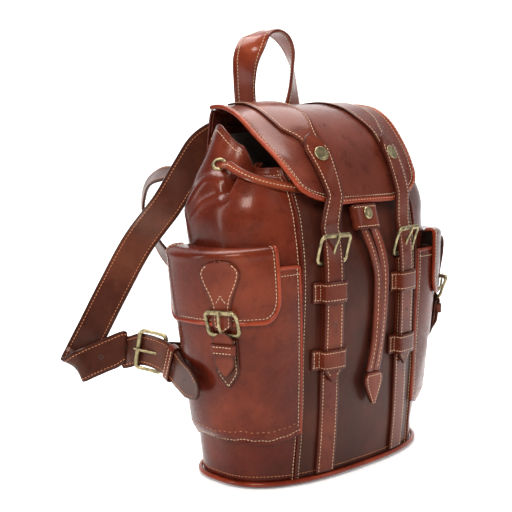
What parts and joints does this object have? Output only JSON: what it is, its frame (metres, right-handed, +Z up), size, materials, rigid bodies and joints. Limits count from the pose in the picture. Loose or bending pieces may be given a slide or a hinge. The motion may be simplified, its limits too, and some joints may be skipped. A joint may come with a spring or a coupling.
{
  "type": "backpack",
  "caption": "Soft leather backpack with a buckled flap over a drawcord neck, side pockets, a top handle and two buckled shoulder straps, standing on its base.",
  "frame": {"origin": "centre of the base, on the surface that the bag stands on", "axes": "+X across the bag to the right of someone facing its front, -Y the front, +Z up"},
  "size_m": [0.373, 0.294, 0.426],
  "materials": {
    "brown_leather": "glossy vegetable-tanned leather, red-brown",
    "dark_leather": "glossy vegetable-tanned leather, dark brown",
    "strap_leather": "satin strap leather, dark brown with stitched edges",
    "trim_leather": "glossy strap and binding leather, orange-brown",
    "lining": "matt beige suede-like lining",
    "board": "pressed stiffener board",
    "brass": "aged antique brass, satin"
  },
  "bodies": {
    "bag": {"base_panel": "dark_leather", "base_stiffener": "board", "front_panel": "dark_leather", "back_panel": "brown_leather", "side_panel_left": "brown_leather", "side_panel_right": "brown_leather", "base_piping": "trim_leather", "lining": "lining", "inner_pocket": "lining", "neck_drawcord": "trim_leather", "eyelet_left": "brass", "eyelet_right": "brass", "flap_yoke": "brown_leather", "cord_end_tab": "trim_leather", "front_strap_left": "trim_leather", "upper_keeper_left": "trim_leather", "lower_keeper_left": "trim_leather", "drawcord_end_left": "trim_leather", "pocket_body_left": "brown_leather", "pocket_lower_strap_left": "trim_leather", "pocket_keeper_left": "trim_leather", "shoulder_strap_left": "strap_leather", "strap_anchor_left": "dark_leather", "shoulder_keeper_left": "trim_leather", "shoulder_left_buckle": "brass", "shoulder_left_prong": "brass", "front_strap_right": "trim_leather", "upper_keeper_right": "trim_leather", "lower_keeper_right": "trim_leather", "drawcord_end_right": "trim_leather", "pocket_body_right": "brown_leather", "pocket_lower_strap_right": "trim_leather", "pocket_keeper_right": "trim_leather", "shoulder_strap_right": "strap_leather", "strap_anchor_right": "dark_leather", "shoulder_keeper_right": "trim_leather", "shoulder_right_buckle": "brass", "shoulder_right_prong": "brass"},
    "flap": {"main_flap": "brown_leather", "flap_overlay_left": "trim_leather", "flap_overlay_right": "trim_leather", "flap_rivet_left": "brass", "flap_rivet_right": "brass"},
    "handle": {"top_handle": "trim_leather"},
    "toggle": {"cord_toggle": "trim_leather", "toggle_rivet": "brass"},
    "closing_strap_left": {"closing_strap_left": "trim_leather"},
    "pocket_flap_left": {"pocket_flap_left": "brown_leather", "pocket_strap_left": "trim_leather"},
    "front_left_buckle": {"front_left_buckle": "brass"},
    "front_left_prong": {"front_left_prong": "brass"},
    "pocket_left_buckle": {"pocket_left_buckle": "brass"},
    "pocket_left_prong": {"pocket_left_prong": "brass"},
    "closing_strap_right": {"closing_strap_right": "trim_leather"},
    "pocket_flap_right": {"pocket_flap_right": "brown_leather", "pocket_strap_right": "trim_leather"},
    "front_right_buckle": {"front_right_buckle": "brass"},
    "front_right_prong": {"front_right_prong": "brass"},
    "pocket_right_buckle": {"pocket_right_buckle": "brass"},
    "pocket_right_prong": {"pocket_right_prong": "brass"}
  },
  "joints": [
    {"name": "flap_hinge", "type": "hinge", "parent": "bag", "child": "flap", "pos_m": [0, 0.0605, 0.3455], "axis": [-1, 0, 0], "range_deg": [0, 75], "deforming": ["closing_strap_left", "closing_strap_right"]},
    {"name": "closing_strap_left_swing", "type": "hinge", "parent": "flap", "child": "closing_strap_left", "pos_m": [-0.051, -0.07, 0.262], "axis": [-1, 0, 0], "range_deg": [-52, 0], "deforming": ["closing_strap_left"]},
    {"name": "pocket_flap_left_hinge", "type": "hinge", "parent": "bag", "child": "pocket_flap_left", "pos_m": [-0.1415, 0, 0.2225], "axis": [0, 1, 0], "range_deg": [0, 19], "deforming": ["pocket_strap_left"]},
    {"name": "front_left_buckle_turn", "type": "hinge", "parent": "bag", "child": "front_left_buckle", "pos_m": [-0.05329, -0.06775, 0.20571], "axis": [0.9934, -0.1145, 0], "range_deg": [0, 60]},
    {"name": "front_left_prong_turn", "type": "hinge", "parent": "front_left_buckle", "child": "front_left_prong", "pos_m": [-0.05329, -0.06775, 0.20571], "axis": [0.9934, -0.1145, 0], "range_deg": [0, 35]},
    {"name": "pocket_left_buckle_turn", "type": "hinge", "parent": "bag", "child": "pocket_left_buckle", "pos_m": [-0.15359, -0.03276, 0.14762], "axis": [0.3612, -0.9324, 0.0136], "range_deg": [0, 65]},
    {"name": "pocket_left_prong_turn", "type": "hinge", "parent": "pocket_left_buckle", "child": "pocket_left_prong", "pos_m": [-0.15359, -0.03276, 0.14762], "axis": [0.3612, -0.9324, 0.0136], "range_deg": [0, 15]},
    {"name": "closing_strap_right_swing", "type": "hinge", "parent": "flap", "child": "closing_strap_right", "pos_m": [0.051, -0.07, 0.262], "axis": [-1, 0, 0], "range_deg": [-52, 0], "deforming": ["closing_strap_right"]},
    {"name": "pocket_flap_right_hinge", "type": "hinge", "parent": "bag", "child": "pocket_flap_right", "pos_m": [0.1415, 0, 0.2225], "axis": [0, -1, 0], "range_deg": [0, 19], "deforming": ["pocket_strap_right"]},
    {"name": "front_right_buckle_turn", "type": "hinge", "parent": "bag", "child": "front_right_buckle", "pos_m": [0.05329, -0.06775, 0.20571], "axis": [0.9934, 0.1145, 0], "range_deg": [0, 60]},
    {"name": "front_right_prong_turn", "type": "hinge", "parent": "front_right_buckle", "child": "front_right_prong", "pos_m": [0.05329, -0.06775, 0.20571], "axis": [0.9934, 0.1145, 0], "range_deg": [0, 35]},
    {"name": "pocket_right_buckle_turn", "type": "hinge", "parent": "bag", "child": "pocket_right_buckle", "pos_m": [0.15359, -0.03276, 0.14762], "axis": [0.3612, 0.9324, -0.0136], "range_deg": [0, 65]},
    {"name": "pocket_right_prong_turn", "type": "hinge", "parent": "pocket_right_buckle", "child": "pocket_right_prong", "pos_m": [0.15359, -0.03276, 0.14762], "axis": [0.3612, 0.9324, -0.0136], "range_deg": [0, 15]},
    {"name": "handle_fold", "type": "hinge", "parent": "bag", "child": "handle", "pos_m": [0.005, 0.063, 0.334], "axis": [-1, 0, 0], "range_deg": [0, 40]},
    {"name": "toggle_slide", "type": "slide", "parent": "bag", "child": "toggle", "axis": [0, -0.2501, -0.9682], "range_m": [0, 0.035], "deforming": ["drawcord_end_left", "drawcord_end_right"]}
  ],
  "couplings": [
    {"joint": "closing_strap_left_swing", "follows": "flap_hinge", "ratio": -0.65},
    {"joint": "pocket_left_buckle_turn", "follows": "pocket_flap_left_hinge", "ratio": 3.4},
    {"joint": "closing_strap_right_swing", "follows": "flap_hinge", "ratio": -0.65},
    {"joint": "pocket_right_buckle_turn", "follows": "pocket_flap_right_hinge", "ratio": 3.4}
  ]
}
